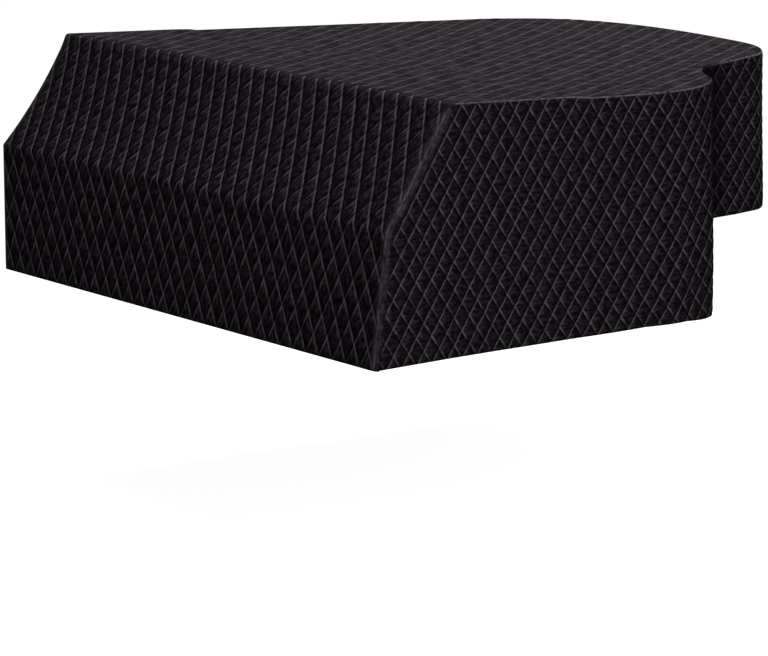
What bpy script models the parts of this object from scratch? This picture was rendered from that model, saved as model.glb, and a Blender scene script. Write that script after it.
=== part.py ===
"""Quilted cover for a small grand piano: five panels of diamond-quilted cloth, sewn into a hood that is open below.

Metres, +Z up. The frame's origin lies under the middle of the top, where the piano's lid carries the cover.
The sizes are given from three natural datums: x from the bass side, y from the front edge of the top towards
the tail, and z from the floor that the piano stands on. `place` moves them into the part's frame.
"""

import math

import bpy
import numpy as np
from mathutils.geometry import delaunay_2d_cdt

# ---- Overall sizes ---------------------------------------------------------------------------------------
WIDTH = 1.500            # bass side to treble side
TOP_HEIGHT = 1.040       # the front edge of the top, above the floor
TOP_FALL = 0.031         # how far the top falls for each metre towards the tail
FLAP_RISE = 0.0035       # the lid's folded front flap lifts the cloth this much
FLAP_END = (0.30, 0.36)  # y where that lift runs out
FOLD_HEIGHT = 0.801      # the fold over the key slip
STEP_AT = 0.885          # y of the step in the hem, on both sides
REACH = 0.20             # how far the walls' base line runs on in front of the top

# ---- The cloth -------------------------------------------------------------------------------------------
CLOTH = 0.0026           # thickness along a line of stitches
PUFF = 0.0028            # how far the middle of a diamond stands above its stitches
EDGE_ROUND = 0.007       # radius of the soft edges between panels
SEAM_BAND = EDGE_ROUND * math.pi / 2
BROW_BAND = 0.018        # cloth between the top seam and the quilting of the front panel
HEM_BAND = 0.006         # plain band along a cut or hemmed edge
SEAM_GAP = 0.0003        # between two panels at a seam

# ---- How finely the faces are divided --------------------------------------------------------------------
EDGE_STEP = 0.042        # along plain edges
TOP_LINING = (0.085, 0.064)     # over the plain inner face of the top: across it and along it
WALL_LINING = (0.042, 0.150)    # over the plain inner face of a wall: along it and down it
FRONT_LINING = (0.250, 0.060)   # over the plain inner face of the front: across it and down it
SNAP = 0.0015            # points closer than this become one
KEEP_OFF = 0.010         # the middle of a diamond nearer than this to a plain band isn't raised

# Plan of the walls' outer face, from the treble front corner round the tail to the bass front corner.
# columns: x, y
PLAN = (
    (1.500, -REACH), (1.500, 0.000), (1.500, 0.220), (1.497, 0.420), (1.468, 0.600), (1.421, 0.702),
    (1.358, 0.783), (1.303, 0.834), (1.243, 0.871), (1.171, 0.926), (1.101, 1.003), (1.001, 1.183),
    (0.919, 1.310), (0.789, 1.409), (0.600, 1.457), (0.380, 1.480), (0.190, 1.457), (0.065, 1.378),
    (0.007, 1.240), (0.000, 1.050), (0.000, 0.700), (0.000, 0.350), (0.000, 0.000), (0.000, -REACH),
)

# The front panel at its bass end and at its treble end.
# columns: y of the fold, y of the hem, z of the hem, sag of the slope
FRONT_ENDS = (
    (-0.173, -0.173, 0.5125, 0.0105),
    (-0.151, -0.184, 0.5290, 0.0030),
)

# Height of the hem along each side. columns: y, z
HEMS = {
    "treble": ((-REACH, 0.529), (0.0, 0.534), (0.30, 0.539), (0.50, 0.539), (0.64, 0.530), (0.80, 0.506)),
    "tail": ((0.80, 0.684), (0.99, 0.665), (1.28, 0.639), (1.50, 0.625)),
    "bass": ((-REACH, 0.512), (0.30, 0.520), (0.60, 0.526), (0.90, 0.522)),
}

# The walls hang free behind the keyboard: their hem stands out, in slow waves.
# columns: wavelength along the wall, phase, swing at the hem
FLARE = 0.006
WAVES = ((0.83, 0.4, 0.0022), (0.37, 1.9, 0.0013))

# The quilting. x runs along a panel and y across it, from its top seam down, or on the top towards the tail.
# columns: width and height of a diamond, how a row climbs, how a column leans, x and y of one crossing
QUILT = {
    "top": (0.0505, 0.0770, -0.040, -0.210, 0.8007, 0.5227),
    "slope": (0.0482, 0.0702, 0.000, -0.138, 0.7521, 0.2770),
    "front": (0.0482, 0.0872, 0.000, 0.000, 0.7667, 0.3184),
    "treble": (0.0389, 0.0569, -0.062, 0.000, 0.5372, 0.2674),
    "tail": (0.0640, 0.0560, -0.030, 0.000, 1.6000, 0.1000),
    "bass": (0.0482, 0.0700, 0.000, 0.000, 3.2000, 0.1000),
}

BLACK_CLOTH = (0.011, 0.011, 0.012, 1.0)
ROUGHNESS = 0.62


# ---- Small tools -----------------------------------------------------------------------------------------
def smoothstep(low, high, value):
    """0 below `low`, 1 above `high`, with a soft S between them."""
    share = np.clip((value - low) / (high - low), 0.0, 1.0)
    return share * share * (3.0 - 2.0 * share)


def top_height(y):
    """Height of the cloth over the lid at `y`."""
    return TOP_HEIGHT - TOP_FALL * y + FLAP_RISE * (1.0 - smoothstep(*FLAP_END, y))


MOUNT_AT = (WIDTH / 2, 0.62)
ORIGIN = np.array([*MOUNT_AT, float(top_height(MOUNT_AT[1])) - CLOTH])


def place(points):
    """From the datums above into the part's own frame."""
    return points - ORIGIN


def catmull_rom(points, samples):
    """A smooth curve through all of `points`: a centripetal Catmull-Rom spline."""
    points = np.array(points, float)
    knots = np.vstack([2 * points[0] - points[1], points, 2 * points[-1] - points[-2]])
    pieces = []
    for i in range(1, len(knots) - 2):
        p0, p1, p2, p3 = knots[i - 1:i + 3]
        t1 = np.linalg.norm(p1 - p0) ** 0.5
        t2 = t1 + np.linalg.norm(p2 - p1) ** 0.5
        t3 = t2 + np.linalg.norm(p3 - p2) ** 0.5
        t = np.linspace(t1, t2, samples, endpoint=False)[:, None]
        a1 = (t1 - t) / t1 * p0 + t / t1 * p1
        a2 = (t2 - t) / (t2 - t1) * p1 + (t - t1) / (t2 - t1) * p2
        a3 = (t3 - t) / (t3 - t2) * p2 + (t - t2) / (t3 - t2) * p3
        b1 = (t2 - t) / t2 * a1 + t / t2 * a2
        b2 = (t3 - t) / (t3 - t1) * a2 + (t - t1) / (t3 - t1) * a3
        pieces.append((t2 - t) / (t2 - t1) * b1 + (t - t1) / (t2 - t1) * b2)
    return np.vstack(pieces + [points[-1:]])


def lengths_along(line):
    """Distance from the first point to each point, along the line."""
    return np.concatenate([[0.0], np.cumsum(np.linalg.norm(np.diff(line, axis=0), axis=1))])


def look_up(where, known, values):
    """Values at `where`, read with straight lines between the `known` places; `values` may have columns."""
    return np.stack([np.interp(where, known, column) for column in np.transpose(values)], axis=-1)


def hem_height(side, y):
    """Height of the hem of one side at `y`."""
    rows = np.array(HEMS[side])
    return np.interp(y, rows[:, 0], rows[:, 1])


def side_normals(line, closed=False):
    """Unit-width mitre directions on the left of a 2-D line, one for each point."""
    before = line - np.roll(line, 1, axis=0)
    after = np.roll(line, -1, axis=0) - line
    if not closed:
        before[0] = after[0]
        after[-1] = before[-1]
    before = before / np.linalg.norm(before, axis=1, keepdims=True)
    after = after / np.linalg.norm(after, axis=1, keepdims=True)
    left = np.stack([-before[:, 1] - after[:, 1], before[:, 0] + after[:, 0]], axis=1)
    width = left[:, 1] * after[:, 0] - left[:, 0] * after[:, 1]
    return left / width[:, None]


def run(corners, step=EDGE_STEP):
    """A line through `corners` with points about `step` apart."""
    points = []
    for start, end in zip(corners, corners[1:]):
        start, end = np.array(start, float), np.array(end, float)
        count = max(1, round(np.linalg.norm(end - start) / step))
        points += [start + (end - start) * i / count for i in range(count)]
    return np.array(points + [np.array(corners[-1], float)])


# ---- The walls' base line --------------------------------------------------------------------------------
LINE = catmull_rom(PLAN, 40)
LINE_S = lengths_along(LINE)
LINE_OUT = -side_normals(LINE)
TAIL_END = int(np.argmax(LINE[:, 1]))


def line_s(y, side):
    """Distance along the base line to `y`, on the "treble" or the "bass" side."""
    if side == "treble":
        return float(np.interp(y, LINE[:TAIL_END, 1], LINE_S[:TAIL_END]))
    return float(np.interp(-y, -LINE[TAIL_END:, 1], LINE_S[TAIL_END:]))


# ---- The shapes that the flat panels take ----------------------------------------------------------------
def turned_down(distance):
    """Cloth that leaves a flat face at a seam and turns down through a quarter circle.

    `distance` is measured from the seam. Gives how far in from the outer face the cloth still is, how far it
    has come down, and the turn."""
    turn = np.clip(distance / EDGE_ROUND, 0.0, math.pi / 2)
    inset = EDGE_ROUND * (1.0 - np.sin(turn))
    drop = EDGE_ROUND * (1.0 - np.cos(turn)) + np.maximum(distance - SEAM_BAND, 0.0)
    return inset, drop, turn


def wall_cloth(flat):
    """A side wall. `flat` holds the distance along the base line, and down the cloth from the top seam."""
    along, down = flat[:, 0], flat[:, 1]
    foot = look_up(along, LINE_S, LINE)
    outward = look_up(along, LINE_S, LINE_OUT)
    inset, drop, turn = turned_down(down)
    swing = smoothstep(0.03, 0.45, down) * smoothstep(0.10, 0.35, foot[:, 1])
    wave = sum(size * np.sin(2 * math.pi * along / length + phase) for length, phase, size in WAVES)
    foot = foot + outward * ((FLARE + wave) * swing - inset)[:, None]
    height = top_height(foot[:, 1]) - drop
    normals = np.column_stack([outward * np.sin(turn)[:, None], np.cos(turn)])
    return np.column_stack([foot, height]), normals


def wall_down(y, z):
    """Distance down a wall's cloth from its top seam to the height `z`."""
    return top_height(y) - z - EDGE_ROUND + SEAM_BAND


def top_cloth(flat):
    """The top. `flat` holds x and y."""
    return np.column_stack([flat, top_height(flat[:, 1])]), np.tile([0.0, 0.0, 1.0], (len(flat), 1))


SLOPE_LENGTH = 0.288     # of the front panel, between its brow and its fold, on average
DROP_LENGTH = 0.280      # of the front panel, between its fold and its hem, on average
FRONT_WIDTH = WIDTH - 2 * EDGE_ROUND + 2 * SEAM_BAND
FOLD_AT = EDGE_ROUND + SLOPE_LENGTH
FRONT_HEM_AT = FOLD_AT + DROP_LENGTH
FRONT_ROWS = run([(0.0, 0.0), (0.0, BROW_BAND), (0.0, FOLD_AT), (0.0, FRONT_HEM_AT)])[:, 1]


def front_section(end):
    """Section of the front panel at one end: (y, z) at each of its rows, and the outward directions there."""
    fold_y, hem_y, hem_z, sag = FRONT_ENDS[end]
    brow = np.array([0.0, top_height(0.0)])
    fold, hem = np.array([fold_y, FOLD_HEIGHT]), np.array([hem_y, hem_z])
    share = ((FRONT_ROWS - EDGE_ROUND) / SLOPE_LENGTH)[:, None]
    inwards = np.array([brow[1] - fold[1], fold[0] - brow[0]]) / np.linalg.norm(fold - brow)
    slope = brow + (fold - brow) * share + inwards * sag * 4 * share * (1 - share)
    below = ((FRONT_ROWS - FOLD_AT) / DROP_LENGTH)[:, None]
    section = np.where(below > 0, fold + (hem - fold) * below, slope)
    section[0] = brow + (EDGE_ROUND, 0.0)
    outward = -side_normals(section)
    outward[0] = (0.0, 1.0)
    return section, outward


def front_cloth(flat):
    """The front panel. `flat` holds the distance from its bass edge, and down the cloth from the top seam."""
    across, down = flat[:, 0], flat[:, 1]
    inset_bass, x_bass, turn_bass = turned_down(across)
    inset_treble, x_treble, turn_treble = turned_down(FRONT_WIDTH - across)
    x = np.where(across < FRONT_WIDTH / 2, x_bass, WIDTH - x_treble)
    turn = np.minimum(turn_bass, turn_treble)
    sideways = np.where(across < FRONT_WIDTH / 2, -1.0, 1.0) * np.cos(turn)
    share = (x / WIDTH)[:, None]
    bass, treble = (look_up(down, FRONT_ROWS, np.hstack(front_section(end))) for end in (0, 1))
    section, outward = np.hsplit(bass * (1 - share) + treble * share, 2)
    section = section - outward * (inset_bass + inset_treble)[:, None]
    normals = np.column_stack([sideways, outward * np.sin(turn)[:, None]])
    return np.column_stack([x, section]), normals


# ---- Quilting --------------------------------------------------------------------------------------------
def lattice_point(panel, i, j):
    """Point `i` of row `j` of a panel's quilting: a crossing where i + j is even, else a diamond's middle."""
    if panel == "front" and j < 0:
        return lattice_point("slope", i + 1, j + 1)
    width, height, climb, lean, x0, y0 = QUILT[panel]
    across = i * width / 2 + lean * j * height / 2
    return np.array([x0 + across, y0 + j * height / 2 + climb * across])


def inside(loop, point):
    """Whether `point` lies within the closed `loop`."""
    x, y = point
    after = np.roll(loop, -1, axis=0)
    spans = (loop[:, 1] > y) != (after[:, 1] > y)
    rows, ends = loop[spans], after[spans]
    crossing_x = rows[:, 0] + (y - rows[:, 1]) * (ends[:, 0] - rows[:, 0]) / (ends[:, 1] - rows[:, 1])
    return np.count_nonzero(crossing_x > x) % 2 == 1


def distance_to(loop, point):
    """Shortest distance from `point` to the closed `loop`."""
    sides = np.roll(loop, -1, axis=0) - loop
    share = np.clip(((point - loop) * sides).sum(1) / (sides * sides).sum(1), 0.0, 1.0)
    return np.linalg.norm(loop + sides * share[:, None] - point, axis=1).min()


def parts_inside(loop, start, end):
    """The parts of the line from `start` to `end` that lie within the closed `loop`."""
    line = end - start
    sides = np.roll(loop, -1, axis=0) - loop
    away = loop - start
    turn = line[0] * sides[:, 1] - line[1] * sides[:, 0]
    turn = np.where(np.abs(turn) < 1e-12, 1e-12, turn)
    on_line = (away[:, 0] * sides[:, 1] - away[:, 1] * sides[:, 0]) / turn
    on_side = (away[:, 0] * line[1] - away[:, 1] * line[0]) / turn
    hits = on_line[(on_side >= 0) & (on_side <= 1) & (on_line > 0) & (on_line < 1)]
    cuts = np.concatenate([[0.0], np.sort(hits), [1.0]])
    pairs = zip(cuts, cuts[1:])
    return [(start + line * a, start + line * b) for a, b in pairs if inside(loop, start + line * (a + b) / 2)]


def quilting(panel, loop):
    """The stitch lines within `loop`, cut into pieces from crossing to crossing, and the diamonds' middles."""
    width, height = QUILT[panel][:2]
    low, high = loop.min(axis=0), loop.max(axis=0)
    origin = lattice_point(panel, 0, 0)
    reach = np.abs(np.vstack([low, high]) - origin).max(axis=0) + [0.5 * (high - low)[1], 0.1]
    columns, rows = int(reach[0] / (width / 2)) + 2, int(reach[1] / (height / 2)) + 2
    stitches, middles = [], []
    for j in range(-rows, rows + 1):
        for i in range(-columns, columns + 1):
            here = lattice_point(panel, i, j)
            if (here < low - width).any() or (here > high + width).any():
                continue
            if (i + j) % 2 == 0:
                for side in (-1, 1):
                    stitches += parts_inside(loop, here, lattice_point(panel, i + side, j + 1))
            elif inside(loop, here) and distance_to(loop, here) > KEEP_OFF:
                middles.append(here)
    return stitches, middles


# ---- Panels as closed solids -----------------------------------------------------------------------------
def divided(outline, lines, points):
    """Triangles within `outline` that keep to `lines` and pass through `points`.

    Gives the flat points, the triangles, where each outline point went, and where each of `points` went."""
    flat = [tuple(p) for p in outline]
    edges = [(i, (i + 1) % len(flat)) for i in range(len(flat))]
    for line in lines:
        first = len(flat)
        flat += [tuple(p) for p in line]
        edges += [(k, k + 1) for k in range(first, len(flat) - 1)]
    first_point = len(flat)
    flat += [tuple(p) for p in points]
    result = delaunay_2d_cdt(flat, edges, [list(range(len(outline)))], 1, SNAP, True)
    went_to = {old: new for new, olds in enumerate(result[3]) for old in olds}
    rim = [went_to[i] for i in range(len(outline))]
    marked = [went_to[i] for i in range(first_point, len(flat))]
    verts = np.array([tuple(v) for v in result[0]])
    triangles = [tuple(t) for t in result[2] if inside(verts[rim], verts[list(t)].mean(axis=0))]
    return verts, triangles, rim, marked


def cloth_panel(name, quilt, cloth, outline, quilted, lines, lining_points):
    """One panel: a quilted outer face, a plain inner face and the cut edge between them."""
    stitches, middles = quilting(quilt, quilted)
    outer_flat, outer_faces, outer_rim, tops = divided(outline, lines + stitches, middles)
    lining = [p for p in lining_points if inside(quilted, p) and distance_to(quilted, p) > KEEP_OFF]
    inner_flat, inner_faces, inner_rim, _ = divided(outline, lines, lining)
    outer_flat[outer_rim] = outline
    inner_flat[inner_rim] = outline
    count = len(outer_flat)
    places, normals = cloth(np.vstack([outer_flat, inner_flat]))
    lift = np.full(len(places), -CLOTH)
    lift[:count] = 0.0
    lift[tops] = PUFF
    points = place(places + normals * lift[:, None])
    faces = list(outer_faces) + [tuple(count + k for k in reversed(face)) for face in inner_faces]
    for k, (outer_a, inner_a) in enumerate(zip(outer_rim, inner_rim)):
        following = (k + 1) % len(outer_rim)
        outer_b, inner_b = outer_rim[following], inner_rim[following]
        faces += [(outer_b, outer_a, count + inner_a), (outer_b, count + inner_a, count + inner_b)]
    a, b, c = (points[[face[i] for face in outer_faces]] for i in range(3))
    if (np.cross(b - a, c - a) * normals[[face[0] for face in outer_faces]]).sum() < 0:
        faces = [tuple(reversed(face)) for face in faces]
    mesh = bpy.data.meshes.new(name)
    mesh.from_pydata(points.tolist(), [], faces)
    mesh.validate()
    panel = bpy.data.objects.new(name, mesh)
    bpy.context.collection.objects.link(panel)
    panel.data.materials.append(quilted_cloth(name))
    return panel


def quilted_cloth(name):
    """Matt black woven polyester."""
    material = bpy.data.materials.new(name + "_cloth")
    material.use_nodes = True
    shader = material.node_tree.nodes["Principled BSDF"]
    shader.inputs["Base Color"].default_value = BLACK_CLOTH
    shader.inputs["Roughness"].default_value = ROUGHNESS
    shader.inputs["Metallic"].default_value = 0.0
    material.diffuse_color = BLACK_CLOTH
    return material


def grid(low, high, step_x, step_y):
    """Points over a rectangle, spaced evenly."""
    xs = np.linspace(low[0], high[0], max(2, round((high[0] - low[0]) / step_x)))
    ys = np.linspace(low[1], high[1], max(2, round((high[1] - low[1]) / step_y)))
    return [np.array([x, y]) for x in xs for y in ys]


def loop_of(*lines):
    """A closed outline from lines that follow each other, each starting where the one before ends."""
    return np.vstack([line[:-1] for line in lines])


# ---- The five panels -------------------------------------------------------------------------------------
def make_front():
    """The piece over the keyboard: a slope down from the brow, a fold, and a straight drop."""
    last = FRONT_WIDTH - SEAM_BAND
    columns = [0.0, SEAM_BAND, last, FRONT_WIDTH]
    outline = loop_of(
        run([(x, 0.0) for x in columns]),
        np.array([(FRONT_WIDTH, y) for y in FRONT_ROWS]),
        run([(x, FRONT_HEM_AT) for x in reversed(columns)]),
        np.array([(0.0, y) for y in reversed(FRONT_ROWS)]),
    )
    low, high = (SEAM_BAND, BROW_BAND), (last, FRONT_HEM_AT - HEM_BAND)
    quilted = np.array([low, (high[0], low[1]), high, (low[0], high[1])])
    lines = [np.array([(0.0, y), (FRONT_WIDTH, y)]) for y in (BROW_BAND, FOLD_AT)]
    lines += [np.array([(x, y) for y in FRONT_ROWS]) for x in (SEAM_BAND, last)]
    lining = grid(low, high, *FRONT_LINING)
    return cloth_panel("front_panel", "front", front_cloth, outline, quilted, lines, lining)


def cut_at_slope(end):
    """End of a side wall that meets the front panel: flat points from the top seam down to the hem."""
    section, outward = front_section(end)
    cut = section - outward * (EDGE_ROUND + SEAM_GAP)
    cut[0] = (EDGE_ROUND + SEAM_GAP, top_height(0.0) - EDGE_ROUND)
    along = [line_s(y, ("bass", "treble")[end]) for y in cut[:, 0]]
    down = wall_down(cut[:, 0], cut[:, 1])
    return np.vstack([[along[0], 0.0], np.column_stack([along, down])])


def cut_at_step(side, panel, sign):
    """End of a side wall at the step in the hem, on one side of the seam there."""
    along = line_s(STEP_AT, side) + sign * SEAM_GAP / 2
    hem = wall_down(STEP_AT, hem_height(panel, STEP_AT))
    return run([(along, 0.0), (along, SEAM_BAND), (along, hem)])


def top_seam(first_cut, last_cut):
    """Points along a wall's top seam, from one cut to the other."""
    return run([first_cut[0], last_cut[0]])


def make_wall(panel, first_cut, last_cut):
    """A side wall between two cuts, each given from the top seam down, in the order of the base line."""
    def hem_between(first, last, raised):
        """The hem's line between two places on the base line, `raised` above its edge."""
        along = run([(first, 0.0), (last, 0.0)])[1:-1, 0]
        y = np.interp(along, LINE_S, LINE[:, 1])
        return np.column_stack([along, wall_down(y, hem_height(panel, y)) - raised])

    outline = np.vstack([
        top_seam(first_cut, last_cut)[:-1],
        last_cut,
        hem_between(first_cut[-1, 0], last_cut[-1, 0], 0.0)[::-1],
        first_cut[:0:-1],
    ])
    near = first_cut[1:] - side_normals(first_cut[1:]) * HEM_BAND
    far = last_cut[1:] + side_normals(last_cut[1:]) * HEM_BAND
    for edge in (near, far):
        edge[0, 1] = SEAM_BAND
        edge[-1, 1] -= HEM_BAND
    hem = hem_between(near[-1, 0], far[-1, 0], HEM_BAND)
    quilted = np.vstack([near[:1], far, hem[::-1], near[:0:-1]])
    lines = [run([first_cut[1], last_cut[1]])]
    low, high = quilted.min(axis=0), quilted.max(axis=0)
    return cloth_panel(panel + "_panel", panel, wall_cloth, outline, quilted, lines, grid(low, high, *WALL_LINING))


def make_top(walls):
    """The piece over the lid, cut to the plan of the case, inside the seam that joins it to the walls."""
    along = np.concatenate([top_seam(*cuts)[:, 0] for cuts in walls.values()])
    foot = look_up(along, LINE_S, LINE) - look_up(along, LINE_S, LINE_OUT) * (EDGE_ROUND + SEAM_GAP)
    outline = loop_of(foot, run([foot[-1], foot[0]]))
    quilted = outline + side_normals(outline, closed=True) * HEM_BAND
    lining = grid((0.0, 0.0), (WIDTH, float(foot[:, 1].max())), *TOP_LINING)
    return cloth_panel("top_panel", "top", top_cloth, outline, quilted, [], lining)


def main():
    """Clears the scene and makes the cover."""
    for old in list(bpy.data.objects):
        bpy.data.objects.remove(old, do_unlink=True)
    walls = {
        "treble": (cut_at_slope(1), cut_at_step("treble", "treble", -1)),
        "tail": (cut_at_step("treble", "tail", 1), cut_at_step("bass", "tail", -1)),
        "bass": (cut_at_step("bass", "bass", 1), cut_at_slope(0)),
    }
    make_top(walls)
    make_front()
    for panel, cuts in walls.items():
        make_wall(panel, *cuts)


main()
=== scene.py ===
# %% [markdown]
# # A quilted cover for a small grand piano
# The real cover is a hood of five black quilted panels: a top cut to the plan of the case, a front panel
# that slopes down over the keyboard, folds and drops, and three side walls. It is sewn inside out and
# turned, so that no seam shows, and it hangs open below. The solids of the same five panels are loaded
# first. They fix where every panel is, and each piece made here is laid over its own solid in the same
# frame.

import math

import bpy
import numpy as np
from mathutils import Matrix


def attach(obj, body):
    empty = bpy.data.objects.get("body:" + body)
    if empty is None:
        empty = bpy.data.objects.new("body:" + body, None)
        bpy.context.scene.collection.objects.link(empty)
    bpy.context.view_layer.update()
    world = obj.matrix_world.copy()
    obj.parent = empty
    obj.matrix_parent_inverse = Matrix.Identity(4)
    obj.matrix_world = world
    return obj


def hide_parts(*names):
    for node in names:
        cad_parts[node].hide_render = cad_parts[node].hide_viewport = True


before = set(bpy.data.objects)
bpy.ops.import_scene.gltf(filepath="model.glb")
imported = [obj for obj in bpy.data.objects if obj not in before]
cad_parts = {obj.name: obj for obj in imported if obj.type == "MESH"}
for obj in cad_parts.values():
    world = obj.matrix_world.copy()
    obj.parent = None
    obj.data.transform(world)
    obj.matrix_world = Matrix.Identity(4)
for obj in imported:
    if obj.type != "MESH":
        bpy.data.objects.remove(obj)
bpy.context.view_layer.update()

# %% [markdown]
# ## The sizes
# A cover is fitted to the piano it goes over, so the sizes are the piano's: how wide the case is, how high
# the lid lies, and how far the keyboard stands out in front. They are measured from three plain datums: x
# from the bass side, y from the front edge of the top towards the tail, and z from the floor. One
# subtraction then moves a point into the frame of the solids, whose origin is under the middle of the top.

# %% Sizes of the case, in metres
WIDTH = 1.500            # bass side to treble side
TOP_HEIGHT = 1.040       # the front edge of the top, above the floor
TOP_FALL = 0.031         # how far the top falls for each metre towards the tail
FLAP_RISE = 0.0035       # the lid's folded front flap lifts the cloth this much
FLAP_END = (0.30, 0.36)  # y where that lift runs out
FOLD_HEIGHT = 0.801      # the fold over the key slip
STEP_AT = 0.885          # y of the step in the hem, on both sides
REACH = 0.20             # how far the walls' base line runs on in front of the top

# Plan of the walls' outer face, from the treble front corner round the tail to the bass front corner
# columns: x, y
PLAN = (
    (1.500, -REACH), (1.500, 0.000), (1.500, 0.220), (1.497, 0.420), (1.468, 0.600), (1.421, 0.702),
    (1.358, 0.783), (1.303, 0.834), (1.243, 0.871), (1.171, 0.926), (1.101, 1.003), (1.001, 1.183),
    (0.919, 1.310), (0.789, 1.409), (0.600, 1.457), (0.380, 1.480), (0.190, 1.457), (0.065, 1.378),
    (0.007, 1.240), (0.000, 1.050), (0.000, 0.700), (0.000, 0.350), (0.000, 0.000), (0.000, -REACH),
)

# The front panel at its bass end and at its treble end
# columns: y of the fold, y of the hem, z of the hem, sag of the slope
FRONT_ENDS = (
    (-0.173, -0.173, 0.5125, 0.0105),
    (-0.151, -0.184, 0.5290, 0.0030),
)
SLOPE_LENGTH = 0.288     # of the front panel, between its brow and its fold
DROP_LENGTH = 0.280      # of the front panel, between its fold and its hem

# Height of the hem along each side. columns: y, z
HEMS = {
    "treble": ((-REACH, 0.529), (0.0, 0.534), (0.30, 0.539), (0.50, 0.539), (0.64, 0.530), (0.80, 0.506)),
    "tail": ((0.80, 0.684), (0.99, 0.665), (1.28, 0.639), (1.50, 0.625)),
    "bass": ((-REACH, 0.512), (0.30, 0.520), (0.60, 0.526), (0.90, 0.522)),
}


def smoothstep(low, high, value):
    """0 below `low` and 1 above `high`; between them 3 t squared minus 2 t cubed, a soft S."""
    share = np.clip((value - low) / (high - low), 0.0, 1.0)
    return share * share * (3.0 - 2.0 * share)


def top_height(y):
    """The lid's height at `y`: a straight fall towards the tail, and a small lift over the front flap."""
    return TOP_HEIGHT - TOP_FALL * y + FLAP_RISE * (1.0 - smoothstep(*FLAP_END, y))


CLOTH = 0.0026           # thickness along a line of stitches
ORIGIN = np.array([WIDTH / 2, 0.62, float(top_height(0.62)) - CLOTH])
print("origin of the frame, from the datums:", np.round(ORIGIN, 5))

# %% [markdown]
# ## The eye and the light
# The cover is seen from its treble front corner, from a little above, with a long lens, so that upright
# edges stay upright. The lens is longer than 100 mm because a short one would spread the edges apart. Each
# direction the camera looks in is worked out from two angles, which is plainer than nested turns.

# %% The camera
PICTURE = (768, 656)         # the picture's width and height, in pixels
LENS_PIXELS = 3500.0         # the lens, in the same pixels
FILM_WIDTH = 36.0            # millimetres, to which the lens's own millimetres refer
TILT, TURN = 0.19546, 0.95634  # looking down, and round from the front, in radians
AIM = np.array([WIDTH / 2, 0.60, 0.60])
AIM_RIGHT, AIM_UP, AWAY = -0.19075, -0.19047, 7.8657  # metres: past AIM to the right and up, and back from it

right = np.array([math.cos(TURN), math.sin(TURN), 0.0])
level = np.array([-math.sin(TURN), math.cos(TURN), 0.0])
ahead = math.cos(TILT) * level - np.array([0.0, 0.0, math.sin(TILT)])
up = np.array([0.0, 0.0, math.cos(TILT)]) + math.sin(TILT) * level
eye = AIM + AIM_RIGHT * right + AIM_UP * up - AWAY * ahead - ORIGIN


def facing(right, up, back, place):
    """The matrix of a thing at `place`; its columns say where its right side, top and back point."""
    matrix = np.eye(4)
    matrix[:3] = np.column_stack([right, up, back, place])
    return Matrix(matrix.tolist())


camera = bpy.data.objects.new("camera", bpy.data.cameras.new("camera"))
bpy.context.collection.objects.link(camera)
camera.data.sensor_width = FILM_WIDTH
camera.data.lens = LENS_PIXELS * FILM_WIDTH / PICTURE[0]
camera.data.clip_end = 60.0
camera.matrix_world = facing(right, up, -ahead, eye)
bpy.context.scene.camera = camera
print("camera at", np.round(eye, 3), "lens", round(camera.data.lens, 1), "mm")

# %% [markdown]
# ### The light
# Black cloth shows its shape by soft light from above and from the sides. So there is a pale room all
# round, a wide lamp overhead, one above the front and one to the treble side. The room and the floor look
# white and yet give the cloth little light, because light from below and from all round would turn the
# black to grey. A light path node tells the two apart: what the eye sees of them is bright, and what
# reaches the cloth is dim.

# %% The room, the lamps and the floor
bpy.context.scene.view_settings.view_transform = "Standard"
WHITE = (1.0, 0.995, 1.0, 1.0)
ROOM_LIGHT = 0.13        # what the room gives the cloth; the room itself looks white
FLOOR_GREY = (0.40, 0.397, 0.40, 1.0)
FLOOR_SEEN, FLOOR_GIVES = 0.95, 0.04   # how pale the floor looks, and how much it lights the cloth
world = bpy.data.worlds.new("pale_room")
bpy.context.scene.world = world
world.use_nodes = True
room = world.node_tree
room.nodes["Background"].inputs["Color"].default_value = WHITE
seen = room.nodes.new("ShaderNodeLightPath")
strength = room.nodes.new("ShaderNodeMapRange")
strength.inputs["To Min"].default_value = ROOM_LIGHT
room.links.new(seen.outputs["Is Camera Ray"], strength.inputs["Value"])
room.links.new(strength.outputs[0], room.nodes["Background"].inputs["Strength"])


def lamp(name, place, aim, size, power):
    """A square soft lamp at `place` that shines towards `aim`."""
    light = bpy.data.lights.new(name, "AREA")
    light.shape = "SQUARE"
    light.size = size
    light.energy = power
    thing = bpy.data.objects.new(name, light)
    bpy.context.collection.objects.link(thing)
    back = np.array(place, float) - np.array(aim, float)
    back /= np.linalg.norm(back)
    side = np.cross([0.0, 1.0, 0.0] if abs(back[2]) > 0.9 else [0.0, 0.0, 1.0], back)
    side /= np.linalg.norm(side)
    thing.matrix_world = facing(side, np.cross(back, side), back, place)


lamp("overhead_lamp", (-0.3, 1.5, 3.0), (0.0, 0.1, 0.0), 1.8, 144.0)
lamp("front_lamp", (0.2, -1.5, 3.0), (0.0, -0.4, 0.0), 1.6, 60.0)
lamp("treble_lamp", (4.0, -0.7, 1.3), (0.4, 0.0, -0.2), 1.0, 63.0)

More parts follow.
